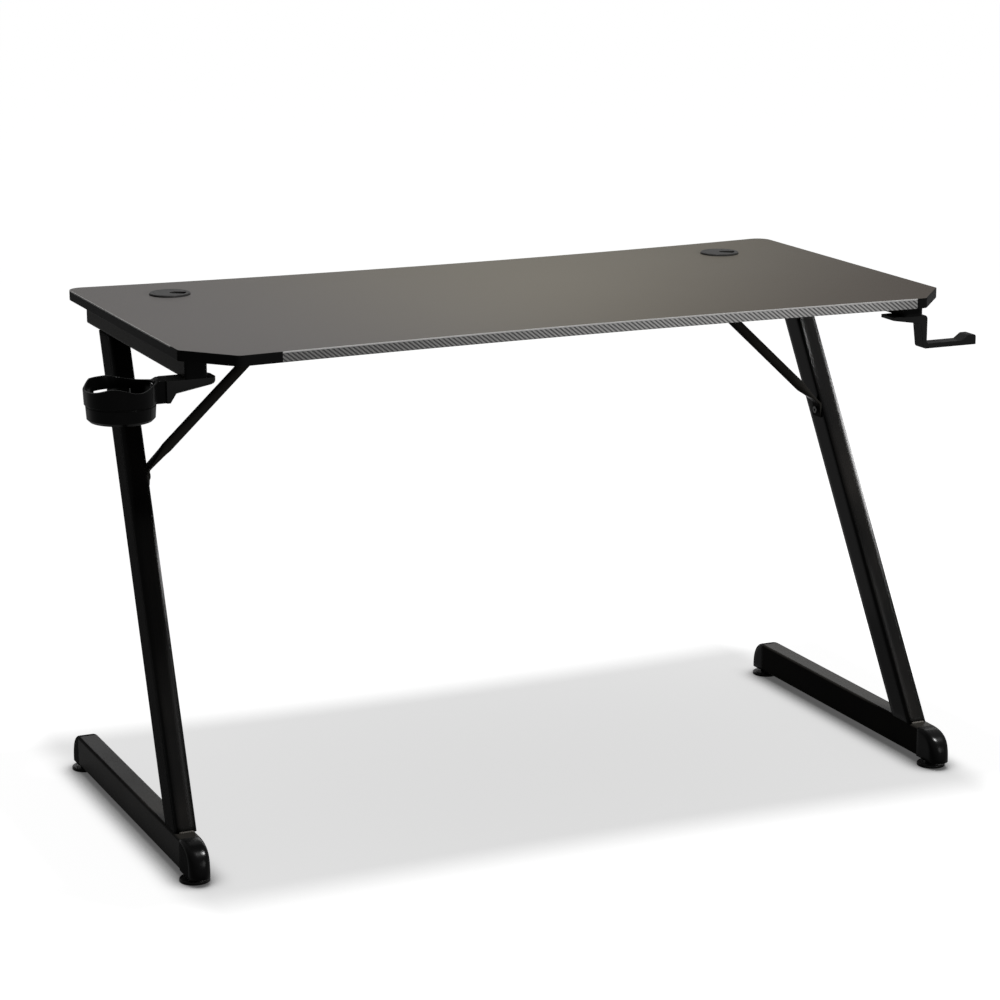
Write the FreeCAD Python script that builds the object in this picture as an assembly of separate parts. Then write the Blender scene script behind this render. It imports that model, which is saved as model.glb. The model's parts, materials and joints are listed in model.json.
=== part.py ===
import FreeCAD, Part
import math
import os

# Gaming desk on two leaning Z-shaped legs. Millimetres, +Z up, front towards -Y.
# The origin lies on the floor under the middle of the desktop.

# Clearances, and the tolerance for finding an edge by its place
running_clearance = 0.05
free_clearance = 0.3
edge_tolerance = 0.01

# Desktop board and its edge band
top_height = 750.0
top_width = 1200.0
top_depth = 608.0
board_thickness = 15.0
band_thickness = 0.8
band_edge_radius = 0.6
front_hollow = 17.0
rear_hollow = 31.0
corner_cut_width = 63.0
corner_cut_depth = 72.0
corner_cut_radius = 12.0
side_corner_radius = 8.0
rear_corner_radius = 22.0

# Steel tubes of the legs
tube_width = 32.0
tube_depth = 46.0
tube_wall = 1.5
tube_corner = 4.0
rail_height = 30.0
rail_length = 456.5
rail_rear_overhang = 54.8
foot_side_overhang = 3.5
foot_front_margin = 64.0
foot_bar_length = 493.0
foot_bar_lift = 11.0
post_setback = 20.0
post_inset = 2.2
post_lean_deg = 28.7
post_splay_deg = 2.8

# Plastic caps in the tube ends
front_cap_length = 51.0
rear_cap_length = 40.0
cap_nose_radius = 14.0
front_cap_fullness = 1.2
rear_cap_fullness = 0.8
foot_plug_depth = 14.0
plug_clearance = 0.2
rail_plug_depth = 9.0
rail_cap_thickness = 3.0
rail_cap_edge_radius = 1.5

# Levelling feet and the inserts they screw into
front_foot_offset = 18.0
rear_foot_offset = 15.0
pad_radius = 21.7
pad_thickness = 4.5
pad_edge_radius = 1.5
pad_collar_radius = 8.0
stud_radius = 4.0
stud_length = 30.0
stud_socket_depth = 3.0
insert_radius = 6.0
insert_length = 12.0

# Diagonal braces: round tube with flattened, bent ends
brace_radius = 8.0
brace_wall = 1.2
brace_post_height = 522.0
brace_top_inset = 266.0
brace_forward = 7.8
brace_flat_length = 8.0
brace_taper_length = 34.0
tab_thickness = 3.0
tab_width = 24.0
tab_post_length = 22.0
tab_top_length = 40.0

# Fasteners
screw_radius = 2.0
screw_head_radius = 4.0
screw_head_height = 2.4
screw_bite = 11.0
screw_play = 0.1
access_hole_radius = 5.0
rail_screw_front_margin = 58.0
rail_screw_rear_margin = 29.0
brace_screw_margin = 13.0
brace_screw_pitch = 20.0
bolt_radius = 3.0
bolt_head_radius = 5.5
bolt_head_height = 3.3
bolt_socket_flats = 4.0
bolt_socket_depth = 2.0
nut_flats = 10.0
nut_height = 5.0
bolt_end_proud = 1.0

# Cable grommets
grommet_side_margin = 136.0
grommet_shift = -9.0
grommet_rear_margin = 116.0
grommet_hole_radius = 28.5
grommet_flange_width = 2.2
grommet_flange_height = 3.0
grommet_flange_chamfer = 1.1
grommet_wall = 3.7
grommet_ledge_width = 3.0
grommet_cap_thickness = 4.6
grommet_notch_width = 17.0
grommet_notch_reach = 8.0
grommet_notch_turn_deg = 329.0

# Accessory brackets under the front ends of the rails
bracket_overhang = 1.5
bracket_width = 40.0
bracket_inner_reach = 31.0
bracket_tip_radius = 5.0
bracket_corner_radius = 11.0
bracket_screw_margin = 5.0
bracket_screw_pitch = 16.0
bracket_web = 5.0
bracket_screw_proud = 2.0

# Cup holder
cup_arm_tip_thickness = 9.0
cup_arm_root_thickness = 19.5
cup_arm_slope_reach = 29.0
cup_arm_step_reach = 36.5
cup_arm_block_depth = 31.0
cup_arm_reach = 41.6
cup_boss_width = 34.0
cup_boss_depth = 8.0
cup_boss_inset = 6.0
cup_rim_radius = 51.3
cup_waist_radius = 49.8
cup_base_radius = 46.8
cup_base_edge = 4.0
cup_wall = 3.0
cup_floor = 3.0
cup_drain_radius = 20.0
cup_height = 53.5
cup_rim_rise = 1.0
cup_groove_height = 21.0
cup_groove_width = 1.6
cup_groove_depth = 1.8
cup_rim_crest = 1.0
cup_side_dip = 8.5
cup_side_dip_at = 46.0
cup_front_crest = 2.0
cup_front_crest_at = 27.0
cup_front_dip = 8.5
cup_front_dip_at = 18.0
cup_front_rise_at = 41.0
cup_rear_crest_at = 34.0
cup_window_width = 52.0
cup_window_height = 11.0
cup_window_bottom = 24.0
cup_screw_pitch = 15.0
cup_screw_bite = 9.0

# Headphone hook
hook_width = 24.0
hook_base_width = 36.0
hook_inset = 2.5
hook_inner_thickness = 5.0
hook_base_thickness = 13.0
hook_base_reach = 23.2
hook_drop_thickness = 5.7
hook_drop = 52.0
hook_drop_flare = 5.0
hook_shoulder_radius = 6.0
hook_arm_thickness = 7.5
hook_arm_reach = 88.0
hook_tip_rise = 8.0
hook_tip_length = 14.0
hook_tip_slope = 11.0
hook_heel_radius = 5.0
hook_inner_radius = 4.0

# Places that follow from the sizes above
X_AXIS = FreeCAD.Vector(1, 0, 0)
Y_AXIS = FreeCAD.Vector(0, 1, 0)
Z_AXIS = FreeCAD.Vector(0, 0, 1)
ORIGIN = FreeCAD.Vector(0, 0, 0)

board_bottom = top_height - board_thickness
rail_bottom = board_bottom - rail_height
foot_bar_top = foot_bar_lift + tube_depth
foot_bar_front = foot_front_margin - top_depth / 2
foot_bar_rear = foot_bar_front + foot_bar_length
foot_x = top_width / 2 + foot_side_overhang
lean = math.tan(math.radians(post_lean_deg))
splay = math.tan(math.radians(post_splay_deg))
post_rise = rail_bottom - foot_bar_top
post_section_depth = tube_depth / math.cos(math.radians(post_lean_deg))
post_foot_y = foot_bar_front + post_setback + post_section_depth / 2
post_top_y = post_foot_y + lean * post_rise
post_x = foot_x - post_inset
rail_x = post_x - splay * post_rise
rail_rear = post_top_y + post_section_depth / 2 + rail_rear_overhang
rail_front = rail_rear - rail_length
bracket_y = rail_front - bracket_overhang + bracket_width / 2
hook_front = rail_front + hook_inset
cup_x = rail_x + cup_arm_reach + cup_boss_depth + cup_rim_radius
cup_bottom = rail_bottom + cup_rim_rise - cup_height
grommet_y = top_depth / 2 - grommet_rear_margin
brace_top_reach = top_width / 2 - brace_top_inset
brace_bolt_height = brace_post_height - tab_post_length / 2
brace_y = post_foot_y + lean * (brace_bolt_height - foot_bar_top) - brace_forward
inward = FreeCAD.Vector(
    -math.cos(math.radians(post_splay_deg)), 0, -math.sin(math.radians(post_splay_deg))
)


def vec(x, y, z):
    return FreeCAD.Vector(x, y, z)


def cylinder(point, direction, radius, length):
    return Part.makeCylinder(radius, length, point, direction)


def prism(points, travel):
    """Solid made by moving a flat polygon along a vector."""
    face = Part.Face(Part.makePolygon(points + [points[0]]))
    return face.extrude(travel)


def hexagon(point, direction, flats, length):
    """Hexagonal prism that starts at a point and runs along a direction."""
    corner = flats / math.sqrt(3)
    turns = [math.radians(60 * i) for i in range(6)]
    points = [vec(corner * math.cos(turn), corner * math.sin(turn), 0) for turn in turns]
    shape = prism(points, vec(0, 0, length))
    shape.Placement = FreeCAD.Placement(point, FreeCAD.Rotation(Z_AXIS, direction))
    return shape


def rounded_rectangle(width, depth, radius):
    """Flat face in the XY plane, centred on the origin."""
    hx = width / 2 - radius
    hy = depth / 2 - radius
    corners = [(hx, hy, 0), (-hx, hy, 90), (-hx, -hy, 180), (hx, -hy, 270)]
    arcs = []
    for x, y, start in corners:
        circle = Part.Circle(vec(x, y, 0), Z_AXIS, radius)
        arcs.append(Part.Arc(circle, math.radians(start), math.radians(start + 90)).toShape())
    edges = []
    for arc, following in zip(arcs, arcs[1:] + arcs[:1]):
        edges.append(arc)
        edges.append(Part.makeLine(arc.Vertexes[-1].Point, following.Vertexes[0].Point))
    return Part.Face(Part.Wire(Part.__sortEdges__(edges)))


def tube_section(width, depth):
    outer = rounded_rectangle(width, depth, tube_corner)
    inner = rounded_rectangle(width - 2 * tube_wall, depth - 2 * tube_wall, tube_corner - tube_wall)
    return outer.cut(inner)


def stand_up(face, x, y, z):
    """Turn a face from the XY plane to face along Y and put its centre at a point."""
    face.rotate(ORIGIN, X_AXIS, 90)
    face.translate(vec(x, y, z))
    return face


def mirrored(shape):
    return shape.mirror(ORIGIN, X_AXIS)


def upright_edges(shape, x, y):
    """Vertical edges of a shape that stand at a place in plan."""
    found = []
    for edge in shape.Edges:
        box = edge.BoundBox
        offset = max(abs(box.Center.x - x), abs(box.Center.y - y))
        if box.ZLength > edge_tolerance and offset < edge_tolerance:
            found.append(edge)
    return found


def screw(point, direction, length):
    """Pan-head screw whose head bears on a face at the point."""
    head_end = point - direction * screw_head_height
    head = cylinder(head_end, direction, screw_head_radius, screw_head_height)
    return head.fuse(cylinder(point, direction, screw_radius, length)).removeSplitter()


def screw_hole(point, direction, length):
    return cylinder(point, direction, screw_radius + screw_play, length)


# Desktop


def desktop_blank():
    half = top_width / 2
    rear = top_depth / 2
    front = -top_depth / 2
    cut_x = half - corner_cut_width
    cut_y = front + corner_cut_depth
    z = board_bottom
    rear_middle = vec(0, rear - rear_hollow, z)
    rear_arc = Part.Arc(vec(-half, rear, z), rear_middle, vec(half, rear, z)).toShape()
    front_middle = vec(0, front + front_hollow, z)
    front_arc = Part.Arc(vec(cut_x, front, z), front_middle, vec(-cut_x, front, z)).toShape()
    lines = [
        Part.makeLine(vec(half, rear, z), vec(half, cut_y, z)),
        Part.makeLine(vec(half, cut_y, z), vec(cut_x, front, z)),
        Part.makeLine(vec(-cut_x, front, z), vec(-half, cut_y, z)),
        Part.makeLine(vec(-half, cut_y, z), vec(-half, rear, z)),
    ]
    outline = Part.Wire(Part.__sortEdges__([rear_arc, front_arc] + lines))
    blank = Part.Face(outline).extrude(vec(0, 0, board_thickness))
    corners = [
        (half, rear, rear_corner_radius),
        (half, cut_y, side_corner_radius),
        (cut_x, front, corner_cut_radius),
    ]
    for x, y, radius in corners:
        for side in (-1, 1):
            blank = blank.makeFillet(radius, upright_edges(blank, side * x, y))
    return blank


def grommet_places():
    """Where the two cable holes lie across the desktop, by side."""
    half = top_width / 2 - grommet_side_margin
    return {"left": grommet_shift - half, "right": grommet_shift + half}


def rail_screw_places():
    """Points on the inner side of the right rail's upper wall where the board screws bear."""
    first = rail_front + rail_screw_front_margin
    last = rail_rear - rail_screw_rear_margin
    ys = [first, (first + last) / 2, last]
    return [vec(rail_x, y, board_bottom - tube_wall) for y in ys]


def brace_screw_places():
    """Points on the underside of the right brace's upper tab where its screws bear."""
    near = brace_top_reach - brace_screw_margin
    far = near - brace_screw_pitch
    return [vec(x, brace_y, board_bottom - tab_thickness) for x in (near, far)]


def board_screw_length(point):
    return board_bottom - point.z + screw_bite


def desktop_parts():
    blank = desktop_blank()
    underside = min(blank.Faces, key=lambda face: face.CenterOfMass.z)
    core = underside.makeOffset2D(-band_thickness)
    board = core.extrude(vec(0, 0, board_thickness))
    outer_edges = []
    for edge in blank.Edges:
        if edge.BoundBox.ZLength < edge_tolerance:
            outer_edges.append(edge)
    band = blank.makeFillet(band_edge_radius, outer_edges).cut(board)
    for x in grommet_places().values():
        hole_at = vec(x, grommet_y, board_bottom)
        board = board.cut(cylinder(hole_at, Z_AXIS, grommet_hole_radius, board_thickness))
    for point in rail_screw_places() + brace_screw_places():
        hole = screw_hole(point, Z_AXIS, board_screw_length(point) + screw_play)
        board = board.cut(hole).cut(mirrored(hole))
    return board, band


def board_screws(places):
    right = [screw(point, Z_AXIS, board_screw_length(point)) for point in places]
    return Part.makeCompound(right + [mirrored(shape) for shape in right])


# Legs, drawn for the right side


def rail():
    centre_z = rail_bottom + rail_height / 2
    section = stand_up(tube_section(tube_width, rail_height), rail_x, rail_front, centre_z)
    shape = section.extrude(vec(0, rail_length, 0))
    for point in rail_screw_places():
        below = vec(point.x, point.y, rail_bottom)
        shape = shape.cut(screw_hole(point, Z_AXIS, tube_wall))
        shape = shape.cut(cylinder(below, Z_AXIS, access_hole_radius, tube_wall))
    for point in bracket_screw_places():
        shape = shape.cut(screw_hole(point, Z_AXIS, tube_wall))
    return shape


def post():
    section = tube_section(tube_width, post_section_depth)
    section.translate(vec(post_x, post_foot_y, foot_bar_top))
    shape = section.extrude(vec(-splay * post_rise, lean * post_rise, post_rise))
    wall_hole = cylinder(brace_bolt_face(), inward * -1, bolt_radius + free_clearance, 2 * tube_wall)
    return shape.cut(wall_hole)


def foot_bar():
    centre_z = foot_bar_lift + tube_depth / 2
    section = stand_up(tube_section(tube_width, tube_depth), foot_x, foot_bar_front, centre_z)
    return section.extrude(vec(0, foot_bar_length, 0))


def plug(width, height, x, y, z, reach):
    """Spigot that fills a tube's mouth; reach is its length along Y, with a sign."""
    shrink = 2 * (tube_wall + plug_clearance)
    corner = tube_corner - tube_wall
    face = stand_up(rounded_rectangle(width - shrink, height - shrink, corner), x, y, z)
    return face.extrude(vec(0, reach, 0))


def foot_cap(end_y, outward, length, fullness, stud_offset):
    """Quarter-round cap on the end of a foot bar, bored for a levelling foot and its insert."""
    crown = Part.BezierCurve()
    top = vec(foot_x - tube_width / 2, end_y, foot_bar_top)
    nose = vec(foot_x - tube_width / 2, end_y + outward * length, foot_bar_lift)
    shoulder = vec(top.x, nose.y, top.z)
    heel = vec(top.x, top.y, nose.z)
    crown.setPoles([top, shoulder, nose])
    crown.setWeight(2, fullness)
    outline = Part.Wire([crown.toShape(), Part.makeLine(nose, heel), Part.makeLine(heel, top)])
    body = Part.Face(outline).extrude(vec(tube_width, 0, 0))
    rims = []
    for edge in body.Edges:
        if edge.BoundBox.YLength > length / 2 and edge.BoundBox.ZLength > tube_depth / 2:
            rims.append(edge)
    for rim in rims:
        starts_at_top = rim.Vertexes[0].Z > rim.Vertexes[-1].Z
        radii = (tube_corner, cap_nose_radius) if starts_at_top else (cap_nose_radius, tube_corner)
        body = body.makeFillet(radii[0], radii[1], [matching_edge(body, rim)])
    centre_z = foot_bar_lift + tube_depth / 2
    spigot = plug(tube_width, tube_depth, foot_x, end_y, centre_z, -outward * foot_plug_depth)
    body = body.fuse(spigot).removeSplitter()
    mouth = vec(foot_x, end_y + outward * stud_offset, foot_bar_lift)
    body = body.cut(cylinder(mouth, Z_AXIS, insert_radius, insert_length))
    return body.cut(cylinder(mouth, Z_AXIS, stud_radius + free_clearance, stud_length + free_clearance))


def front_foot_cap():
    return foot_cap(foot_bar_front, -1, front_cap_length, front_cap_fullness, front_foot_offset)


def rear_foot_cap():
    return foot_cap(foot_bar_rear, 1, rear_cap_length, rear_cap_fullness, rear_foot_offset)


def matching_edge(shape, wanted):
    """Edge of a shape with the same middle as an edge of an earlier state."""
    middle = wanted.BoundBox.Center
    return min(shape.Edges, key=lambda edge: edge.BoundBox.Center.distanceToPoint(middle))


def rail_cap(end_y, outward):
    z = rail_bottom + rail_height / 2
    plate = stand_up(rounded_rectangle(tube_width, rail_height, tube_corner), rail_x, end_y, z)
    plate = plate.extrude(vec(0, outward * rail_cap_thickness, 0))
    outer_y = end_y + outward * rail_cap_thickness
    rim = []
    for edge in plate.Edges:
        if abs(edge.BoundBox.YMin - outer_y) + edge.BoundBox.YLength < edge_tolerance:
            rim.append(edge)
    plate = plate.makeFillet(rail_cap_edge_radius, rim)
    spigot = plug(tube_width, rail_height, rail_x, end_y, z, -outward * rail_plug_depth)
    return plate.fuse(spigot).removeSplitter()


def foot_places():
    """Where the right leg's levelling feet stand in plan, by name."""
    return {"front": foot_bar_front - front_foot_offset, "rear": foot_bar_rear + rear_foot_offset}


def pad(y):
    disc = cylinder(vec(foot_x, y, 0), Z_AXIS, pad_radius, pad_thickness)
    rim = [edge for edge in disc.Edges if edge.BoundBox.ZMin > edge_tolerance]
    disc = disc.makeFillet(pad_edge_radius, rim)
    collar = cylinder(vec(foot_x, y, 0), Z_AXIS, pad_collar_radius, foot_bar_lift)
    socket_at = vec(foot_x, y, foot_bar_lift - stud_socket_depth)
    socket = cylinder(socket_at, Z_AXIS, stud_radius, stud_socket_depth)
    return disc.fuse(collar).removeSplitter().cut(socket)


def stud(y):
    start = vec(foot_x, y, foot_bar_lift - stud_socket_depth)
    return cylinder(start, Z_AXIS, stud_radius, stud_length + stud_socket_depth)


def inserts():
    shapes = []
    for y in foot_places().values():
        mouth = vec(foot_x, y, foot_bar_lift)
        body = cylinder(mouth, Z_AXIS, insert_radius, insert_length)
        body = body.cut(cylinder(mouth, Z_AXIS, stud_radius + running_clearance, insert_length))
        shapes += [body, mirrored(body)]
    return Part.makeCompound(shapes)


# Braces, drawn for the right side


def post_face(z):
    """Point on the inner face of the right post, in the braces' plane."""
    return vec(post_x - splay * (z - foot_bar_top) - tube_width / 2, brace_y, z)


def brace_bolt_face():
    return post_face(brace_bolt_height)


def bent_strip(first, bend, last):
    """Flat strip of the tab's width that follows two straight runs in the braces' plane."""
    one = (bend - first).normalize()
    two = (last - bend).normalize()
    side_one = vec(-one.z, 0, one.x) * (tab_thickness / 2)
    side_two = vec(-two.z, 0, two.x) * (tab_thickness / 2)
    middle = side_one + side_two
    mitre = middle * (2 * side_one.dot(side_one) / middle.dot(middle))
    upper = [first + side_one, bend + mitre, last + side_two]
    outline = upper + [last - side_two, bend - mitre, first - side_one]
    shift = vec(0, tab_width / 2, 0)
    return prism([point - shift for point in outline], shift * 2)


def flattened_end(flat_at, round_at):
    """Taper from the strip's rectangle to the round tube."""
    axis = (round_at - flat_at).normalize()
    side = vec(-axis.z, 0, axis.x)
    half_flat = [(1, 1), (-1, 1), (-1, -1), (1, -1)]
    flat_points = []
    for a, b in half_flat:
        flat_points.append(flat_at + side * (a * tab_thickness / 2) + Y_AXIS * (b * tab_width / 2))
    flat = Part.makePolygon(flat_points + flat_points[:1])
    arcs = []
    for quarter in range(4):
        stops = []
        for part in (0, 0.5, 1):
            turn = math.radians(45 + 90 * (quarter + part))
            stops.append(round_at + (side * math.cos(turn) + Y_AXIS * math.sin(turn)) * brace_radius)
        arcs.append(Part.Arc(stops[0], stops[1], stops[2]).toShape())
    return Part.makeLoft([flat, Part.Wire(arcs)], True, True)


def brace():
    half = tab_thickness / 2
    low_bend = post_face(brace_post_height) + inward * half
    low_end = post_face(brace_post_height - tab_post_length) + inward * half
    high_bend = vec(brace_top_reach, brace_y, board_bottom - half)
    high_end = high_bend - X_AXIS * tab_top_length
    axis = (high_bend - low_bend).normalize()
    low_flat = low_bend + axis * brace_flat_length
    high_flat = high_bend - axis * brace_flat_length
    low_round = low_flat + axis * brace_taper_length
    high_round = high_flat - axis * brace_taper_length
    span = (high_round - low_round).Length
    shape = cylinder(low_round, axis, brace_radius, span)
    shape = shape.fuse([
        flattened_end(low_flat, low_round),
        flattened_end(high_flat, high_round),
        bent_strip(low_end, low_bend, low_flat),
        bent_strip(high_flat, high_bend, high_end),
    ]).removeSplitter()
    shape = shape.cut(cylinder(low_round, axis, brace_radius - brace_wall, span))
    bolt_hole = cylinder(brace_bolt_face(), inward, bolt_radius + free_clearance, tab_thickness)
    shape = shape.cut(bolt_hole)
    for point in brace_screw_places():
        shape = shape.cut(screw_hole(point, Z_AXIS, tab_thickness))
    return shape


def brace_bolt():
    bearing = brace_bolt_face() + inward * tab_thickness
    wall = tube_wall * math.cos(math.radians(post_splay_deg))
    grip = tab_thickness + wall + nut_height + bolt_end_proud
    head = cylinder(bearing, inward, bolt_head_radius, bolt_head_height)
    socket_at = bearing + inward * (bolt_head_height - bolt_socket_depth)
    head = head.cut(hexagon(socket_at, inward, bolt_socket_flats, bolt_socket_depth))
    return head.fuse(cylinder(bearing, inward * -1, bolt_radius, grip)).removeSplitter()


def brace_nut():
    seat = brace_bolt_face() - inward * (tube_wall * math.cos(math.radians(post_splay_deg)))
    body = hexagon(seat, inward * -1, nut_flats, nut_height)
    return body.cut(cylinder(seat, inward * -1, bolt_radius + running_clearance, nut_height))


# Cable grommets


def grommet_ring(x):
    body_radius = grommet_hole_radius - free_clearance
    bore = body_radius - grommet_wall
    ledge = bore - grommet_ledge_width
    cap_seat = top_height + grommet_flange_height - grommet_cap_thickness
    base = vec(x, grommet_y, board_bottom)
    flange_at = vec(x, grommet_y, top_height)
    flange_radius = grommet_hole_radius + grommet_flange_width
    flange = cylinder(flange_at, Z_AXIS, flange_radius, grommet_flange_height)
    rim = [edge for edge in flange.Edges if edge.BoundBox.ZMin > top_height + edge_tolerance]
    flange = flange.makeChamfer(grommet_flange_chamfer, rim)
    shape = cylinder(base, Z_AXIS, body_radius, board_thickness).fuse(flange).removeSplitter()
    shape = shape.cut(cylinder(vec(x, grommet_y, cap_seat), Z_AXIS, bore, 2 * grommet_cap_thickness))
    return shape.cut(cylinder(base, Z_AXIS, ledge, board_thickness))


def grommet_cap(x):
    radius = grommet_hole_radius - 2 * free_clearance - grommet_wall
    seat = vec(x, grommet_y, top_height + grommet_flange_height - grommet_cap_thickness)
    disc = cylinder(seat, Z_AXIS, radius, grommet_cap_thickness)
    half = grommet_notch_width / 2
    notch = seat + vec(grommet_notch_reach, 0, 0)
    slot = Part.makeBox(radius, grommet_notch_width, grommet_cap_thickness, notch - Y_AXIS * half)
    slot = slot.fuse(cylinder(notch, Z_AXIS, half, grommet_cap_thickness))
    slot.rotate(seat, Z_AXIS, grommet_notch_turn_deg)
    return disc.cut(slot)


# Brackets under the rails: the cup holder on the left, the headphone hook on the right


def bracket_screw_places():
    """Points on the underside of the right rail, behind the plug in its mouth."""
    y = rail_front + rail_plug_depth + bracket_screw_margin
    half = bracket_screw_pitch / 2
    return [vec(rail_x + step, y, rail_bottom) for step in (-half, half)]


def bracket_prism(profile, middle_y, width):
    """Extrude an outline of reach from the rail's middle and drop below the rail, across a width."""
    start_y = middle_y - width / 2
    points = [vec(rail_x + reach, start_y, rail_bottom - drop) for reach, drop in profile]
    return prism(points, vec(0, width, 0))


def cross_edge(shape, reach, drop):
    """Edge across a bracket that runs through a corner of its outline."""
    corner = vec(rail_x + reach, shape.BoundBox.Center.y, rail_bottom - drop)
    return min(shape.Edges, key=lambda edge: edge.BoundBox.Center.distanceToPoint(corner))


def sink_screws(shape):
    """Bore a bracket for its screws, with sunk seats that leave a web under the rail."""
    depth = shape.BoundBox.ZLength
    for point in bracket_screw_places():
        seat = point - Z_AXIS * bracket_web
        shape = shape.cut(screw_hole(seat, Z_AXIS, bracket_web))
        shape = shape.cut(cylinder(seat, Z_AXIS * -1, screw_head_radius + free_clearance, depth))
    return shape


def bracket_screws():
    length = bracket_web + tube_wall + bracket_screw_proud
    return [screw(point - Z_AXIS * bracket_web, Z_AXIS, length) for point in bracket_screw_places()]


def cup_screw_places():
    """Points on the cup's inner wall where its two screws bear."""
    inner = cup_x - cup_rim_radius + cup_boss_inset
    middle = rail_bottom - cup_arm_block_depth / 2
    return [vec(inner, bracket_y, middle + step) for step in (-cup_screw_pitch / 2, cup_screw_pitch / 2)]


def cup_screw_length():
    return cup_boss_depth + cup_boss_inset + cup_screw_bite


def cup_arm():
    """Tapered arm, drawn on the right like the legs."""
    profile = [
        (-bracket_inner_reach, 0),
        (-bracket_inner_reach, cup_arm_tip_thickness),
        (cup_arm_slope_reach, cup_arm_root_thickness),
        (cup_arm_step_reach, cup_arm_block_depth),
        (cup_arm_reach, cup_arm_block_depth),
        (cup_arm_reach, 0),
    ]
    shape = bracket_prism(profile, bracket_y, bracket_width)
    tip_x = rail_x - bracket_inner_reach
    for y in (bracket_y - bracket_width / 2, bracket_y + bracket_width / 2):
        shape = shape.makeFillet(bracket_corner_radius, upright_edges(shape, tip_x, y))
    tip = cross_edge(shape, -bracket_inner_reach, cup_arm_tip_thickness)
    shape = sink_screws(shape.makeFillet(bracket_tip_radius, [tip]))
    for point in cup_screw_places():
        shape = shape.cut(screw_hole(point, X_AXIS * -1, cup_screw_length() + screw_play))
    return shape


def cup_profile():
    """Half section of the cup as radius and height above its bottom."""
    groove_top = cup_groove_height + cup_groove_width
    waist_below = cup_waist_radius - cup_groove_depth
    return [
        (cup_drain_radius, 0),
        (cup_base_radius - cup_base_edge, 0),
        (cup_base_radius, cup_base_edge),
        (waist_below, cup_groove_height),
        (waist_below - cup_groove_depth / 2, cup_groove_height),
        (waist_below - cup_groove_depth / 2, groove_top),
        (cup_waist_radius, groove_top + cup_groove_width),
        (cup_rim_radius, cup_height),
        (cup_rim_radius - cup_wall, cup_height),
        (cup_base_radius - cup_wall, cup_floor),
        (cup_drain_radius, cup_floor),
    ]


def cup_shell():
    points = [vec(cup_x + radius, bracket_y, cup_bottom + height) for radius, height in cup_profile()]
    face = Part.Face(Part.makePolygon(points + points[:1]))
    return face.revolve(vec(cup_x, bracket_y, 0), Z_AXIS, 360)


def cup_hollow():
    """Space inside the cup's wall, from its floor upwards."""
    floor = vec(cup_x, bracket_y, cup_bottom + cup_floor)
    depth = cup_height - cup_floor
    return Part.makeCone(cup_base_radius - cup_wall, cup_rim_radius - cup_wall, depth, floor, Z_AXIS)


def rim_wave(stations, travel):
    """Prism over a wavy line of offset from the cup's middle and dip below its rim."""
    top = cup_bottom + cup_height
    points = [vec(cup_x + offset, bracket_y, top - dip) for offset, dip in stations]
    wave = Part.BSplineCurve()
    wave.interpolate(points)
    lift = vec(0, 0, cup_height)
    lid = [points[-1], points[-1] + lift, points[0] + lift, points[0]]
    edges = [wave.toShape()] + [Part.makeLine(a, b) for a, b in zip(lid, lid[1:])]
    return Part.Face(Part.Wire(edges)).extrude(travel)


def rim_waves():
    """The waves in the front and rear halves of the rim, low on the outer side."""
    reach = cup_rim_radius + cup_wall
    front = [
        (reach, cup_side_dip),
        (cup_side_dip_at, cup_side_dip),
        (cup_front_crest_at, cup_front_crest),
        (-cup_front_dip_at, cup_front_dip),
        (-cup_front_rise_at, cup_rim_crest),
        (-reach, cup_rim_crest),
    ]
    rear = [
        (reach, cup_side_dip),
        (cup_side_dip_at, cup_side_dip),
        (cup_rear_crest_at, cup_rim_crest),
        (0, cup_rim_crest),
        (-reach, cup_rim_crest),
    ]
    depth = vec(0, reach, 0)
    return [rim_wave(front, depth * -1), rim_wave(rear, depth)]


def cup():
    """Cup with its boss, wavy rim and rear window, drawn on the right."""
    boss_low = rail_bottom - cup_arm_block_depth
    start = vec(rail_x + cup_arm_reach, bracket_y - cup_boss_width / 2, boss_low)
    boss_reach = cup_boss_depth + cup_boss_inset
    boss = Part.makeBox(boss_reach, cup_boss_width, cup_arm_block_depth, start)
    shape = cup_shell().fuse(boss.cut(cup_hollow())).removeSplitter().cut(rim_waves())
    window_at = vec(cup_x - cup_window_width / 2, bracket_y, cup_bottom + cup_window_bottom)
    shape = shape.cut(Part.makeBox(cup_window_width, 2 * cup_rim_radius, cup_window_height, window_at))
    for point in cup_screw_places():
        shape = shape.cut(screw_hole(point, X_AXIS * -1, cup_screw_length()))
        shape = shape.cut(cylinder(point, X_AXIS, screw_head_radius + free_clearance, cup_boss_inset))
    return shape


def cup_screws():
    return [mirrored(screw(point, X_AXIS * -1, cup_screw_length())) for point in cup_screw_places()]


def hook_base():
    """Plate under the rail, with a rounded shoulder beyond the rail's side."""
    drop_out = hook_base_reach + hook_drop_thickness
    shape = bracket_prism([
        (-bracket_inner_reach, 0),
        (-bracket_inner_reach, hook_inner_thickness),
        (hook_base_reach - hook_drop_flare, hook_base_thickness),
        (drop_out, hook_base_thickness),
        (drop_out, 0),
    ], hook_front + hook_base_width / 2, hook_base_width)
    return shape.makeFillet(hook_shoulder_radius, [cross_edge(shape, drop_out, 0)])


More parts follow.
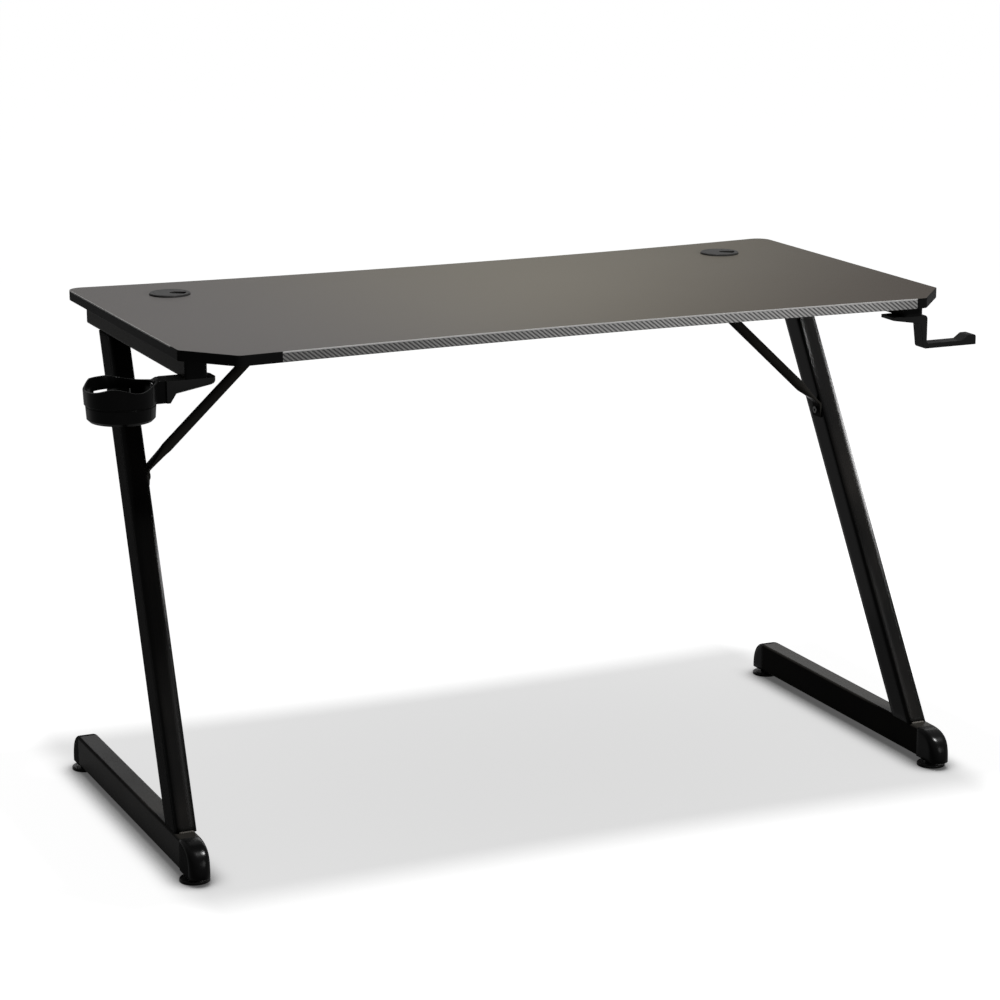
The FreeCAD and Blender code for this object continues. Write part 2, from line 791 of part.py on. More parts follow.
def hook_arm():
    """Hanging arm that turns outwards to an upturned tip."""
    drop_out = hook_base_reach + hook_drop_thickness
    arm_end = drop_out + hook_arm_reach
    arm_top = hook_drop - hook_arm_thickness
    tip_top = arm_top - hook_tip_rise
    shape = bracket_prism([
        (hook_base_reach - hook_drop_flare, hook_base_thickness),
        (hook_base_reach, hook_drop),
        (arm_end, hook_drop),
        (arm_end, tip_top),
        (arm_end - hook_tip_length, tip_top),
        (arm_end - hook_tip_length - hook_tip_slope, arm_top),
        (drop_out, arm_top),
        (drop_out, hook_base_thickness),
    ], hook_front + hook_width / 2, hook_width)
    shape = shape.makeFillet(hook_heel_radius, [cross_edge(shape, hook_base_reach, hook_drop)])
    return shape.makeFillet(hook_inner_radius, [
        cross_edge(shape, drop_out, arm_top),
        cross_edge(shape, arm_end, tip_top),
        cross_edge(shape, arm_end - hook_tip_length, tip_top),
    ])


def hook():
    return sink_screws(hook_base().fuse(hook_arm()).removeSplitter())


def save(name, shape):
    shape.exportStep(os.path.join("parts", name + ".step"))


def save_pair(name, shape):
    """The piece drawn on the right, and its mirror image on the left."""
    save("right_" + name, shape)
    save("left_" + name, mirrored(shape))


os.makedirs("parts", exist_ok=True)

desktop_board, edge_band = desktop_parts()
save("desktop_board", desktop_board)
save("desktop_edge_band", edge_band)
save("desktop_screws", board_screws(rail_screw_places()))

save_pair("rail", rail())
save_pair("post", post())
save_pair("foot_bar", foot_bar())
save_pair("foot_cap_front", front_foot_cap())
save_pair("foot_cap_rear", rear_foot_cap())
save_pair("rail_cap_front", rail_cap(rail_front, -1))
save_pair("rail_cap_rear", rail_cap(rail_rear, 1))
for place, stand_y in foot_places().items():
    save_pair("levelling_pad_" + place, pad(stand_y))
    save_pair("levelling_stud_" + place, stud(stand_y))
save("levelling_inserts", inserts())

save_pair("brace", brace())
save("brace_top_screws", board_screws(brace_screw_places()))
save("brace_bolts", Part.makeCompound([brace_bolt(), mirrored(brace_bolt())]))
save("brace_nuts", Part.makeCompound([brace_nut(), mirrored(brace_nut())]))

for side_name, side_x in grommet_places().items():
    save(side_name + "_grommet_ring", grommet_ring(side_x))
    save(side_name + "_grommet_cap", grommet_cap(side_x))

save("cup_holder", mirrored(cup()))
save("cup_holder_arm", mirrored(cup_arm()))
save("cup_holder_screws", Part.makeCompound(cup_screws()))
save("cup_arm_screws", Part.makeCompound([mirrored(shape) for shape in bracket_screws()]))
save("headphone_hook", hook())
save("hook_screws", Part.makeCompound(bracket_screws()))
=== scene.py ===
import json
import math

import bmesh
import bpy
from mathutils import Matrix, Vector


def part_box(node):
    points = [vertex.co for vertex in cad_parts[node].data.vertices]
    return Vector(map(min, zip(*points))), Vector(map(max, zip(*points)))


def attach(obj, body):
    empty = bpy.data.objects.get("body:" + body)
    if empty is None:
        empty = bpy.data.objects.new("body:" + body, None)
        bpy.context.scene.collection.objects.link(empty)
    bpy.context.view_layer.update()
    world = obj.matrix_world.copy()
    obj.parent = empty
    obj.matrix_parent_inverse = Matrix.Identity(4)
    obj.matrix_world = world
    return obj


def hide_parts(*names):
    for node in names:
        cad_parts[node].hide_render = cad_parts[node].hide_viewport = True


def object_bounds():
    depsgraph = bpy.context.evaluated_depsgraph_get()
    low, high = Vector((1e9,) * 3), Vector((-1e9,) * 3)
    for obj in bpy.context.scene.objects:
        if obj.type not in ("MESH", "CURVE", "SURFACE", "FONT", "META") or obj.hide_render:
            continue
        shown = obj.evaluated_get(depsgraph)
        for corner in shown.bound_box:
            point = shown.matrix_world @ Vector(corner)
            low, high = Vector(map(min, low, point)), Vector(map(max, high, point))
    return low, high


# Gaming desk in a plain white studio. Metres, +Z up, front towards -Y.
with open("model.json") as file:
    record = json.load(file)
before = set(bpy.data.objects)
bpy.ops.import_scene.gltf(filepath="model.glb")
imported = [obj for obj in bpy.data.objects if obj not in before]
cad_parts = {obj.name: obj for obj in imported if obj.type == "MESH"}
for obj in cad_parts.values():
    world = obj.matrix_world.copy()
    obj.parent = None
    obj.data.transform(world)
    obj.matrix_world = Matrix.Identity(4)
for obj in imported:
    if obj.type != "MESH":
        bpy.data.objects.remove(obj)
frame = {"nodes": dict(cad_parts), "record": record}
cad_low, cad_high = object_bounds()
nodes = frame["nodes"]

MM = 0.001
SIDES = ("left", "right")
ENDS = ("front", "rear")
ROOT_BODY = "desk"

# Camera fitted to the photograph
CAMERA_PLACE = (-1.822979, -3.998955, 1.516900)
CAMERA_PITCH_DEG = 13.909
CAMERA_YAW_DEG = -24.289
CAMERA_LENS_MM = 107.0
CAMERA_SENSOR_MM = 36.0

# Floor, lamps, the even fill of the room and the floor's painted contact shadow
FLOOR_RADIUS = 60.0
FLOOR_ALBEDO = 0.55
TOP_LAMP_HEIGHT = 2.76
TOP_LAMP_WIDTH = 0.30
TOP_LAMP_SHARE = 0.27
TOP_LAMP_Y = -0.10
SHADOW_HALF_WIDTH = 0.60
SHADOW_SIDE_FADE = 0.07
ROOM_FILL = 0.12
CONTACT_REACH = 0.05
CONTACT_OPENNESS = (0.42, 0.97)
CONTACT_DARKEST = 0.11
CONTACT_SAMPLES = 16
FLOOR_SIDES = 96

# Lamps: place, target, width, height and power
KEY_PLACE = (2.0, -1.6, 4.6)
KEY_TARGET = (0, -0.2, 0.1)
KEY_LAMP = (KEY_PLACE, KEY_TARGET, 1.5, 1.5, 720.0)
CAP_LAMP = (KEY_PLACE, KEY_TARGET, 0.9, 0.9, 2200.0)
FRONT_LAMP = ((2.4, -5.2, 1.6), (0.2, 0, 0.6), 2.0, 2.0, 245.0)
RIGHT_LAMP = ((2.9, -0.25, 1.13), (0, 0, 0.4), 1.6, 1.4, 760.0)
REAR_LAMP = ((2.3, 5.0, 1.75), (0, 0, 0.2), 4.2, 1.4, 110.0)

# Starts of the names of the nodes that the frame's own lamps leave out
UNLIT_BY_LEG_LAMPS = ("desktop", "left_grommet", "right_grommet", "cup", "headphone")

# Satin film: darker and lighter tone of the cool shaded left, the warm lit middle and the painted shade
# towards the right-front, and the ranges over which they change
FILM_COOL_SHADED = ((0.094, 0.089, 0.086), (0.102, 0.097, 0.094))
FILM_WARM_LIT = ((0.116, 0.107, 0.089), (0.126, 0.117, 0.098))
FILM_PAINTED_SHADE = ((0.046, 0.039, 0.033), (0.052, 0.044, 0.037))
FILM_WARM_LIT_X = (-0.55, 0.15)
FILM_SHADE_SLANT = 0.9
FILM_SHADE_RANGE = (-0.05, 0.88)

# Carbon twill along the front edge; painted shade darkens the print towards its left end, and the print
# also fades towards its right end
TWILL_TOW_WIDTH = 1.875 * MM
TWILL_TOW_HEIGHT = 1.48 * MM
TWILL_REPEAT = 4
TWILL_START_X = -0.474
TWILL_END_X = 0.522
TWILL_REAR_Y = -0.2
TWILL_DARK = (0.050, 0.130)
TWILL_LIGHT = ((0.200, 0.200, 0.200), (0.440, 0.430, 0.420))
TWILL_PAINTED_SHADE = 0.015
TWILL_PAINTED_LIGHT_RISE = (-0.5, 0.3, 0.45, 1.0)
TWILL_END_FADE = (0.42, 0.54, 0.0, 0.35)

# Edge band: its plain tone, and a light line painted along its top under the film as a highlight, which
# the grommets' rings stand above
EDGE_PLAIN = (0.003, 0.007)
EDGE_PAINTED_HIGHLIGHT = ((0.30, 0.30, 0.30), (0.42, 0.41, 0.40))
RING_HEIGHT = 3.0 * MM
HIGHLIGHT_LINE_HEIGHT = 2.0 * MM
HIGHLIGHT_LINE_BOTTOM = cad_high.z - RING_HEIGHT - HIGHLIGHT_LINE_HEIGHT

# Range of noise that tones and gloss are spread over
TONE_LOW = 0.3
TONE_HIGH = 0.7
BEVEL_SAMPLES = 8

# Range of flat sight over which coats and plastics lose their gloss
DULL_FROM = 0.55
DULL_TO = 0.72

# Corners of the posts' tube
POST_CORNER = 4 * MM
POST_CORNER_STEPS = 10

# Weld beads
BEAD_RADIUS = 1.6 * MM
BEAD_RIPPLE = 0.3 * MM
BEAD_END_MARGIN = 5 * MM
BEAD_PITCH = 2.6 * MM
BEAD_SIDES = 10
BEAD_LIFT = 0.4 * MM

# Threads of the levelling studs
THREAD_PITCH = 1.25 * MM
THREAD_DEPTH = 0.55 * MM
THREAD_STEPS = 24
THREAD_ROWS_PER_PITCH = 5


class Nodes:
    """Short way to build a node tree: each call adds a node and returns one of its outputs."""

    def __init__(self, tree):
        self.tree = tree
        tree.nodes.clear()

    def add(self, kind, inputs=None, **settings):
        node = self.tree.nodes.new(kind)
        for key, value in settings.items():
            setattr(node, key, value)
        for key, value in (inputs or {}).items():
            self.put(node.inputs[key], value)
        return node

    def put(self, socket, value):
        if isinstance(value, bpy.types.NodeSocket):
            self.tree.links.new(value, socket)
        else:
            socket.default_value = value

    def math(self, operation, *values):
        node = self.add("ShaderNodeMath", operation=operation)
        for socket, value in zip(node.inputs, values):
            self.put(socket, value)
        return node.outputs[0]

    def ramp(self, factor, low, high, to_low, to_high):
        """Map a range to another range, with smooth ends."""
        node = self.add("ShaderNodeMapRange", interpolation_type="SMOOTHSTEP")
        for socket, value in zip(node.inputs, (factor, low, high, to_low, to_high)):
            self.put(socket, value)
        return node.outputs[0]

    def noise(self, where, scale, detail=3.0, roughness=0.5):
        inputs = {"Vector": where, "Scale": scale, "Detail": detail, "Roughness": roughness}
        return self.add("ShaderNodeTexNoise", inputs).outputs["Fac"]

    def mix(self, factor, first, second):
        node = self.add("ShaderNodeMix", data_type="RGBA")
        self.put(node.inputs["Factor"], factor)
        colours = [socket for socket in node.inputs if socket.type == "RGBA"]
        self.put(colours[0], first)
        self.put(colours[1], second)
        return [socket for socket in node.outputs if socket.type == "RGBA"][0]

    def place(self):
        return self.add("ShaderNodeTexCoord").outputs["Object"]

    def bump(self, height, strength, distance, edge_radius):
        """Grain over edges that are softened by a small radius."""
        soft = self.add("ShaderNodeBevel", {"Radius": edge_radius}, samples=BEVEL_SAMPLES).outputs[0]
        inputs = {"Height": height, "Strength": strength, "Distance": distance, "Normal": soft}
        return self.add("ShaderNodeBump", inputs).outputs["Normal"]

    def seen(self):
        """One for rays that show the scene, by eye, in gloss or through glass, and zero for fill light."""
        path = self.add("ShaderNodeLightPath").outputs
        shown = self.math("ADD", path["Is Camera Ray"], path["Is Glossy Ray"])
        return self.math("MINIMUM", 1.0, self.math("ADD", shown, path["Is Transmission Ray"]))


def rgb(r, g, b):
    return (r, g, b, 1.0)


def grey(value):
    return rgb(value, value, value)


def new_material(name):
    material = bpy.data.materials.new(name)
    material.use_nodes = True
    return material, Nodes(material.node_tree)


def finish_material(tree, inputs):
    surface = tree.add("ShaderNodeBsdfPrincipled", inputs)
    tree.add("ShaderNodeOutputMaterial", {"Surface": surface.outputs[0]})


def moulded(name, dark, light, gloss, specular, grain_scale, grain, edge_radius):
    """Moulded or coated finish: uneven tone and gloss, a fine grain and edges softened by a radius.

    gloss is the least and greatest roughness and what a flat angle of sight adds to it, and grain is the
    strength and depth of the grain.
    """
    material, tree = new_material(name)
    where = tree.place()
    cloud = tree.noise(where, 9.0)
    speck = tree.noise(where, grain_scale, 4.0, 0.6)
    tone = tree.math("ADD", tree.math("MULTIPLY", cloud, 0.7), tree.math("MULTIPLY", speck, 0.3))
    facing = tree.add("ShaderNodeLayerWeight", {"Blend": 0.5}).outputs["Facing"]
    dull = tree.ramp(facing, DULL_FROM, DULL_TO, 0.0, gloss[2])
    rough = tree.math("ADD", tree.ramp(tone, TONE_LOW, TONE_HIGH, gloss[0], gloss[1]), dull)
    finish_material(tree, {
        "Base Color": tree.mix(tree.ramp(tone, TONE_LOW, TONE_HIGH, 0.0, 1.0), dark, light),
        "Roughness": rough,
        "Specular IOR Level": specular,
        "Normal": tree.bump(speck, grain[0], grain[1], edge_radius),
    })
    return material


def metal(name, dark, light, gloss, grain_scale):
    """Plated or turned metal with a fine scratched grain."""
    material, tree = new_material(name)
    where = tree.place()
    stretched = tree.add("ShaderNodeMapping", {"Vector": where, "Scale": (1.0, 1.0, 9.0)}).outputs[0]
    scratch = tree.noise(stretched, grain_scale, 4.0, 0.6)
    finish_material(tree, {
        "Base Color": tree.mix(scratch, dark, light),
        "Metallic": 1.0,
        "Roughness": tree.ramp(scratch, TONE_LOW, TONE_HIGH, gloss[0], gloss[1]),
        "Normal": tree.bump(scratch, 0.25, 0.2 * MM, 0.2 * MM),
    })
    return material


def film_material():
    """Satin film of the desktop: warm grey with a fine grain, and painted shade that makes it a little
    darker to the left and darker towards the right-front.
    """
    material, tree = new_material("desktop_film")
    where = tree.place()
    parts = tree.add("ShaderNodeSeparateXYZ", {"Vector": where}).outputs
    cloud = tree.noise(where, 2.3, 2.0)
    grain = tree.noise(where, 1400.0, 3.0, 0.6)
    # painted shade: the film is lit in the middle and shaded to the left and towards the right-front
    slant = tree.math("SUBTRACT", parts["X"], tree.math("MULTIPLY", parts["Y"], FILM_SHADE_SLANT))
    across = tree.ramp(parts["X"], *FILM_WARM_LIT_X, 0.0, 1.0)
    shade_mask = tree.ramp(slant, *FILM_SHADE_RANGE, 0.0, 1.0)
    cool = tree.mix(cloud, rgb(*FILM_COOL_SHADED[0]), rgb(*FILM_COOL_SHADED[1]))
    warm = tree.mix(cloud, rgb(*FILM_WARM_LIT[0]), rgb(*FILM_WARM_LIT[1]))
    painted_shade = tree.mix(cloud, rgb(*FILM_PAINTED_SHADE[0]), rgb(*FILM_PAINTED_SHADE[1]))
    colour = tree.mix(shade_mask, tree.mix(across, cool, warm), painted_shade)
    finish_material(tree, {
        "Base Color": colour,
        "Roughness": tree.ramp(tree.math("ADD", cloud, grain), 0.6, 1.4, 0.40, 0.50),
        "Specular IOR Level": 0.006,
        "Normal": tree.bump(grain, 0.08, 0.2 * MM, 0.3 * MM),
    })
    return material


def twill_fields(tree, where):
    """Tone and height of a two-over-two twill in the front edge's plane."""
    parts = tree.add("ShaderNodeSeparateXYZ", {"Vector": where})
    across = tree.math("DIVIDE", parts.outputs["X"], TWILL_TOW_WIDTH)
    upward = tree.math("DIVIDE", parts.outputs["Z"], TWILL_TOW_HEIGHT)
    step = tree.math("ADD", tree.math("FLOOR", across), tree.math("FLOOR", upward))
    turn = tree.math("FLOORED_MODULO", step, float(TWILL_REPEAT))
    warp_over = tree.math("LESS_THAN", turn, TWILL_REPEAT / 2 - 0.5)
    warp_round = tree.math("SINE", tree.math("MULTIPLY", tree.math("FRACT", across), math.pi))
    weft_round = tree.math("SINE", tree.math("MULTIPLY", tree.math("FRACT", upward), math.pi))
    over = tree.math("MULTIPLY", warp_over, warp_round)
    under = tree.math("MULTIPLY", tree.math("SUBTRACT", 1.0, warp_over), weft_round)
    return warp_over, tree.math("ADD", over, tree.math("MULTIPLY", under, 0.6)), parts


def edge_material():
    """Dark edge band whose front stretch carries a carbon twill print, with a painted highlight along its
    top.
    """
    material, tree = new_material("edge_band")
    where = tree.place()
    warp, height, parts = twill_fields(tree, where)
    x = parts.outputs["X"]
    thread = tree.noise(where, 2600.0, 2.0)
    lift = tree.math("ADD", tree.math("MULTIPLY", height, 0.75), tree.math("MULTIPLY", thread, 0.35))
    dark = tree.mix(lift, grey(TWILL_DARK[0]), grey(TWILL_DARK[1]))
    light = tree.mix(lift, rgb(*TWILL_LIGHT[0]), rgb(*TWILL_LIGHT[1]))
    print_tone = tree.mix(warp, dark, light)
    # painted shade: the print darkens towards its left end and fades towards its right end
    painted_light = tree.math("SUBTRACT", tree.ramp(x, *TWILL_PAINTED_LIGHT_RISE), tree.ramp(x, *TWILL_END_FADE))
    print_tone = tree.mix(painted_light, grey(TWILL_PAINTED_SHADE), print_tone)
    front = tree.math("LESS_THAN", parts.outputs["Y"], TWILL_REAR_Y)
    after_start = tree.math("GREATER_THAN", x, TWILL_START_X)
    before_end = tree.math("LESS_THAN", x, TWILL_END_X)
    printed = tree.math("MULTIPLY", front, tree.math("MULTIPLY", after_start, before_end))
    grain = tree.noise(where, 900.0, 3.0, 0.6)
    plain = tree.mix(grain, grey(EDGE_PLAIN[0]), grey(EDGE_PLAIN[1]))
    body = tree.mix(printed, plain, print_tone)
    bare = tree.math("SUBTRACT", front, printed)
    # painted highlight: a light line along the band's top, left off its bare front stretches
    upper = tree.math("GREATER_THAN", parts.outputs["Z"], HIGHLIGHT_LINE_BOTTOM)
    highlight_mask = tree.math("MULTIPLY", upper, tree.math("SUBTRACT", 1.0, bare))
    painted_highlight = tree.mix(grain, rgb(*EDGE_PAINTED_HIGHLIGHT[0]), rgb(*EDGE_PAINTED_HIGHLIGHT[1]))
    relief = tree.math("ADD", tree.math("MULTIPLY", tree.math("MULTIPLY", height, printed), 0.6),
                       tree.math("MULTIPLY", grain, 0.15))
    finish_material(tree, {
        "Base Color": tree.mix(highlight_mask, body, painted_highlight),
        "Roughness": tree.ramp(grain, TONE_LOW, TONE_HIGH, 0.42, 0.52),
        "Specular IOR Level": 0.004,
        "Normal": tree.bump(relief, 0.2, 0.2 * MM, 1.2 * MM),
    })
    return material


def all_materials():
    """One finish for each material slot of the record."""
    return {
        "desktop_film": film_material(),
        "edge_band": edge_material(),
        "black_steel": moulded(
            "black_steel", rgb(0.007, 0.0066, 0.006), rgb(0.011, 0.0102, 0.009), (0.22, 0.30, 0.0), 0.0025,
            700.0, (0.08, 0.3 * MM), 0.8 * MM),
        # the posts take a much darker copy of the frame's coat: painted shade that keeps their fronts dark
        # under the lamps linked to them
        "post_steel": moulded(
            "post_steel", grey(0.0006), rgb(0.0012, 0.0011, 0.001), (0.13, 0.18, 0.70), 0.02,
            700.0, (0.03, 0.3 * MM), 13.0 * MM),
        "cap_plastic": moulded(
            "cap_plastic", grey(0.0003), grey(0.0006), (0.18, 0.22, 0.65), 0.02,
            420.0, (0.02, 0.2 * MM), 10.0 * MM),
        "pad_plastic": moulded(
            "pad_plastic", grey(0.003), grey(0.006), (0.20, 0.30, 0.30), 0.03,
            600.0, (0.08, 0.2 * MM), 0.5 * MM),
        "zinc_steel": metal("zinc_steel", grey(0.42), rgb(0.62, 0.63, 0.65), (0.25, 0.40), 900.0),
        "insert_brass": metal(
            "insert_brass", rgb(0.55, 0.38, 0.14), rgb(0.78, 0.60, 0.28), (0.22, 0.36), 900.0),
        "black_bolt": moulded(
            "black_bolt", grey(0.008), grey(0.016), (0.25, 0.36, 0.20), 0.10,
            1500.0, (0.10, 0.1 * MM), 0.3 * MM),
        "grommet_plastic": moulded(
            "grommet_plastic", grey(0.020), rgb(0.028, 0.027, 0.026), (0.30, 0.40, 0.10), 0.02,
            1100.0, (0.08, 0.2 * MM), 0.5 * MM),
        "cup_gloss": moulded(
            "cup_gloss", grey(0.001), grey(0.002), (0.12, 0.18, 0.30), 0.02,
            500.0, (0.02, 0.2 * MM), 0.8 * MM),
        "bracket_plastic": moulded(
            "bracket_plastic", grey(0.003), grey(0.007), (0.32, 0.44, 0.20), 0.03,
            1300.0, (0.12, 0.2 * MM), 1.2 * MM),
    }


def dress_nodes(materials):
    """Every CAD node takes the finish of its slot."""
    slots = {row["node"]: row["material_slot"] for row in frame["record"]["subparts"]}
    for name, node in nodes.items():
        node.data.materials.clear()
        node.data.materials.append(materials[slots[name]])


def mesh_piece(name, points, faces, material, body):
    """New mesh object in the desk's frame that rides on a body."""
    mesh = bpy.data.meshes.new(name)
    mesh.from_pydata(points, [], faces)
    mesh.validate()
    maker = bmesh.new()
    maker.from_mesh(mesh)
    bmesh.ops.recalc_face_normals(maker, faces=maker.faces)
    maker.to_mesh(mesh)
    maker.free()
    mesh.materials.append(material)
    piece = bpy.data.objects.new(name, mesh)
    bpy.context.scene.collection.objects.link(piece)
    for face in mesh.polygons:
        face.use_smooth = True
    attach(piece, body)
    return piece


def weld_bead(name, start, stop, material):
    """Rippled bead from one point to another, tapered at its ends."""
    run = stop - start
    count = round(run.length / (BEAD_PITCH / 4))
    path = [start + run * (i / count) for i in range(count + 1)]
    rings = []
    travelled = 0.0
    for i, point in enumerate(path):
        before = path[max(i - 1, 0)]
        after = path[min(i + 1, len(path) - 1)]
        along = (after - before).normalized()
        if i:
            travelled += (point - before).length
        ends = min(1.0, 0.35 + 0.35 * min(i, len(path) - 1 - i))
        radius = (BEAD_RADIUS + BEAD_RIPPLE * math.cos(travelled / BEAD_PITCH * 2 * math.pi)) * ends
        side = along.cross(Vector((0, 0, 1))).normalized()
        up = side.cross(along)
        ring = []
        for k in range(BEAD_SIDES):
            turn = 2 * math.pi * k / BEAD_SIDES
            ring.append(point + (side * math.cos(turn) + up * math.sin(turn)) * radius)
        rings.append(ring)
    points = [p for ring in rings for p in ring]
    faces = []
    for i in range(len(rings) - 1):
        for k in range(BEAD_SIDES):
            a = i * BEAD_SIDES + k
            b = i * BEAD_SIDES + (k + 1) % BEAD_SIDES
            faces.append((a, b, b + BEAD_SIDES, a + BEAD_SIDES))
    faces.append(tuple(range(BEAD_SIDES)))
    faces.append(tuple(range(len(points) - BEAD_SIDES, len(points))))
    return mesh_piece(name, points, faces, material, ROOT_BODY)


def post_section(side, at_foot):
    """Corners of a post's end section: front-left, front-right, rear-right and rear-left."""
    mesh = nodes[side + "_post"].data
    low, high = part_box(side + "_post")
    level = low.z if at_foot else high.z
    ends = [v.co for v in mesh.vertices if abs(v.co.z - level) < 0.1 * MM]
    x0 = min(p.x for p in ends)
    x1 = max(p.x for p in ends)
    y0 = min(p.y for p in ends)
    y1 = max(p.y for p in ends)
    return x0, x1, y0, y1, level


def rounded_section(x0, x1, y0, y1, level, slope):
    """Points round a post's level section, whose corners are longer along the lean."""
    rx = POST_CORNER
    ry = POST_CORNER * slope
    centres = ((x1 - rx, y1 - ry), (x0 + rx, y1 - ry), (x0 + rx, y0 + ry), (x1 - rx, y0 + ry))
    points = []
    for quarter, (cx, cy) in enumerate(centres):
        for k in range(POST_CORNER_STEPS + 1):
            turn = (quarter + k / POST_CORNER_STEPS) * math.pi / 2
            points.append((cx + rx * math.cos(turn), cy + ry * math.sin(turn), level))
    return points


def post_skins(material):
    """Outer skins of the posts, whose corners shade softly, in place of the hollow tubes."""
    for side in SIDES:
        foot = post_section(side, True)
        head = post_section(side, False)
        lean = (head[2] - foot[2]) / (head[4] - foot[4])
        slope = math.sqrt(1 + lean * lean)
        low = rounded_section(*foot, slope)
        high = rounded_section(*head, slope)
        count = len(low)
        faces = []
        for k in range(count):
            after = (k + 1) % count
            faces.append((k, after, after + count, k + count))
        faces.append(tuple(reversed(range(count))))
        faces.append(tuple(range(count, 2 * count)))
        post = mesh_piece(side + "_post_skin", low + high, faces, material, ROOT_BODY)
        for k, face in enumerate(post.data.polygons):
            in_corner = k % (POST_CORNER_STEPS + 1) < POST_CORNER_STEPS
            face.use_smooth = k < count and in_corner
        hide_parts(side + "_post")


def weld_beads(material):
    for side in SIDES:
        for at_foot in (True, False):
            x0, x1, y0, y1, level = post_section(side, at_foot)
            z = level + (BEAD_LIFT if at_foot else -BEAD_LIFT)
            place = "foot" if at_foot else "rail"
            for end, y in (("front", y0), ("rear", y1)):
                start = Vector((x0 + BEAD_END_MARGIN, y, z))
                stop = Vector((x1 - BEAD_END_MARGIN, y, z))
                weld_bead("%s_weld_%s_%s" % (side, place, end), start, stop, material)


def threaded_studs(material):
    """Studs with a cut thread in place of the plain ones."""
    for side in SIDES:
        for end in ENDS:
            node = "%s_levelling_stud_%s" % (side, end)
            low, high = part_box(node)
            centre = (low + high) / 2
            outer = (high.x - low.x) / 2
            length = high.z - low.z
            rows = round(length / THREAD_PITCH * THREAD_ROWS_PER_PITCH)
            points = []
            for i in range(rows + 1):
                z = length * i / rows
                for k in range(THREAD_STEPS):
                    turn = 2 * math.pi * k / THREAD_STEPS
                    phase = (z / THREAD_PITCH - k / THREAD_STEPS) % 1.0
                    radius = outer - THREAD_DEPTH * abs(2 * phase - 1)
                    x = centre.x + radius * math.cos(turn)
                    y = centre.y + radius * math.sin(turn)
                    points.append((x, y, low.z + z))
            faces = []
            for i in range(rows):
                for k in range(THREAD_STEPS):
                    a = i * THREAD_STEPS + k
                    b = i * THREAD_STEPS + (k + 1) % THREAD_STEPS
                    faces.append((a, b, b + THREAD_STEPS, a + THREAD_STEPS))
            faces.append(tuple(reversed(range(THREAD_STEPS))))
            faces.append(tuple(range(len(points) - THREAD_STEPS, len(points))))
            body = "levelling_foot_%s_%s" % (side, end)
            name = "%s_threaded_stud_%s" % (side, end)
            stud = mesh_piece(name, points, faces, material, body)
            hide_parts(node)


def floor_material():
    """White floor that keeps the desk's shadow: the lamp's share comes from its light, the rest glows,
    with painted contact shadows.
    """
    material, tree = new_material("studio_floor")
    parts = tree.add("ShaderNodeSeparateXYZ", {"Vector": tree.place()})
    dy = tree.math("SUBTRACT", parts.outputs["Y"], TOP_LAMP_Y)
    reach = tree.math("ADD", tree.math("POWER", parts.outputs["X"], 2.0), tree.math("POWER", dy, 2.0))
    spread = tree.math("ADD", 1.0, tree.math("DIVIDE", reach, TOP_LAMP_HEIGHT ** 2))
    lamp = tree.math("DIVIDE", TOP_LAMP_SHARE, tree.math("POWER", spread, 2.0))
    # beside the desk the glow keeps its full strength, painted light that fills the lamp's shadow there
    aside = tree.math("ABSOLUTE", parts.outputs["X"])
    under = tree.ramp(aside, SHADOW_HALF_WIDTH, SHADOW_HALF_WIDTH + SHADOW_SIDE_FADE, 1.0, 0.0)
    steady = tree.math("SUBTRACT", 1.0 - ROOM_FILL * FLOOR_ALBEDO, tree.math("MULTIPLY", lamp, under))
    # painted contact shadow: ambient occlusion darkens the glow next to the legs and under them
    contact = tree.add("ShaderNodeAmbientOcclusion", {"Distance": CONTACT_REACH}, samples=CONTACT_SAMPLES)
    shade = tree.ramp(contact.outputs["AO"], *CONTACT_OPENNESS, CONTACT_DARKEST, 1.0)
    strength = tree.math("MULTIPLY", tree.math("MULTIPLY", steady, shade), tree.seen())
    glow = tree.add("ShaderNodeEmission", {"Color": grey(1.0), "Strength": strength})
    matte = tree.add("ShaderNodeBsdfDiffuse", {"Color": grey(FLOOR_ALBEDO)})
    both = tree.add("ShaderNodeAddShader", {0: glow.outputs[0], 1: matte.outputs[0]})
    tree.add("ShaderNodeOutputMaterial", {"Surface": both.outputs[0]})
    return material


def build_floor():
    maker = bmesh.new()
    bmesh.ops.create_circle(maker, cap_ends=True, segments=FLOOR_SIDES, radius=FLOOR_RADIUS)
    mesh = bpy.data.meshes.new("studio_floor")
    maker.to_mesh(mesh)
    maker.free()
    mesh.materials.append(floor_material())
    floor = bpy.data.objects.new("studio_floor", mesh)
    bpy.context.scene.collection.objects.link(floor)
    return floor


def area_lamp(name, place, target, width, height, power):
    data = bpy.data.lights.new(name, "AREA")
    data.shape = "DISK" if width == height else "RECTANGLE"
    data.size = width
    data.size_y = height
    data.energy = power
    lamp = bpy.data.objects.new(name, data)
    lamp.location = place
    aim = Vector(target) - Vector(place)
    lamp.rotation_euler = aim.to_track_quat("-Z", "Y").to_euler()
    lamp.visible_camera = False
    bpy.context.scene.collection.objects.link(lamp)
    return lamp


def all_but(name, unlit):
    """Light link that leaves out the objects named."""
    link = bpy.data.collections.new(name)
    for piece in unlit:
        link.objects.link(piece)
    for member in link.collection_objects:
        member.light_linking.link_state = "EXCLUDE"
    return link


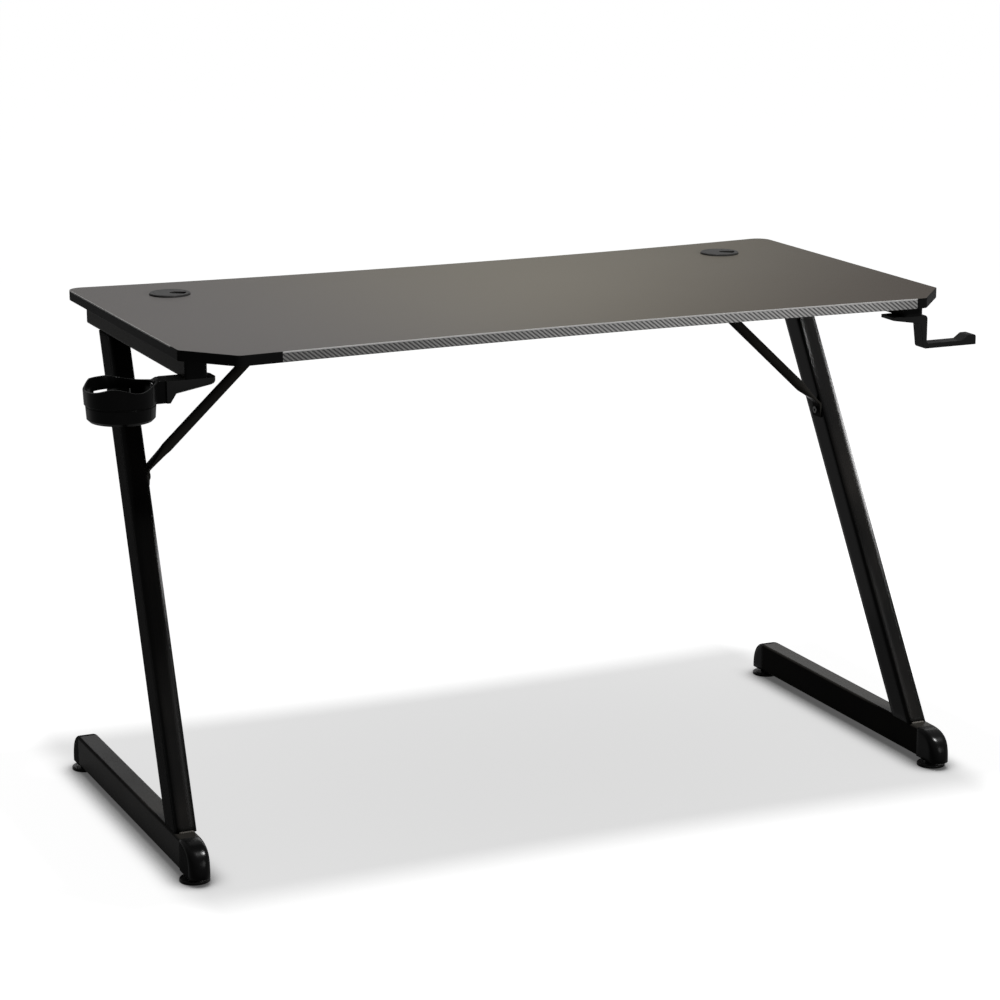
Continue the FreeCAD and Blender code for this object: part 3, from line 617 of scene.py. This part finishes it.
def build_lights(floor):
    """Top lamp, which alone gives the floor its shadow, and softboxes linked to the pieces they light."""
    # A lamp of power P, H above the floor, lights it with P / (4 H^2), and a matte floor sends back
    # albedo / pi of that, so the lamp's share of the floor's white fixes P.
    power = TOP_LAMP_SHARE / FLOOR_ALBEDO * 4 * math.pi * TOP_LAMP_HEIGHT ** 2
    over = (0, TOP_LAMP_Y, TOP_LAMP_HEIGHT)
    area_lamp("top_lamp", over, (0, TOP_LAMP_Y, 0), TOP_LAMP_WIDTH, TOP_LAMP_WIDTH, power)
    front = area_lamp("front_softbox", *FRONT_LAMP)
    right = area_lamp("right_softbox", *RIGHT_LAMP)
    caps = area_lamp("cap_softbox", *CAP_LAMP)
    leg_lamps = [area_lamp("key_softbox", *KEY_LAMP), area_lamp("rear_softbox", *REAR_LAMP)]
    others = [node for name, node in nodes.items() if name.startswith(UNLIT_BY_LEG_LAMPS)]
    capless = [node for name, node in nodes.items() if "foot_cap" not in name]
    caps.light_linking.receiver_collection = all_but("unlit_by_cap_lamp", [floor] + capless)
    front.light_linking.receiver_collection = all_but("unlit_by_front", [floor])
    right.light_linking.receiver_collection = all_but("unlit_by_right", [floor] + list(nodes.values()))
    beside = all_but("unlit_by_leg_lamps", [floor] + others)
    for lamp in leg_lamps:
        lamp.light_linking.receiver_collection = beside


def build_world():
    """White room for the eye and for gloss, with a dim even fill."""
    world = bpy.data.worlds.new("studio")
    world.use_nodes = True
    bpy.context.scene.world = world
    tree = Nodes(world.node_tree)
    level = tree.math("ADD", ROOM_FILL, tree.math("MULTIPLY", tree.seen(), 1.0 - ROOM_FILL))
    glow = tree.add("ShaderNodeBackground", {"Color": grey(1.0), "Strength": level})
    tree.add("ShaderNodeOutputWorld", {"Surface": glow.outputs[0]})


def build_camera():
    data = bpy.data.cameras.new("camera")
    data.sensor_width = CAMERA_SENSOR_MM
    data.lens = CAMERA_LENS_MM
    data.clip_end = 2 * FLOOR_RADIUS
    camera = bpy.data.objects.new("camera", data)
    camera.location = CAMERA_PLACE
    camera.rotation_euler = (math.radians(90 - CAMERA_PITCH_DEG), 0, math.radians(CAMERA_YAW_DEG))
    bpy.context.scene.collection.objects.link(camera)
    bpy.context.scene.camera = camera


bpy.context.scene.view_settings.view_transform = "Standard"
build_camera()
finishes = all_materials()
dress_nodes(finishes)
post_skins(finishes["post_steel"])
weld_beads(finishes["black_steel"])
threaded_studs(finishes["zinc_steel"])
build_lights(build_floor())
build_world()
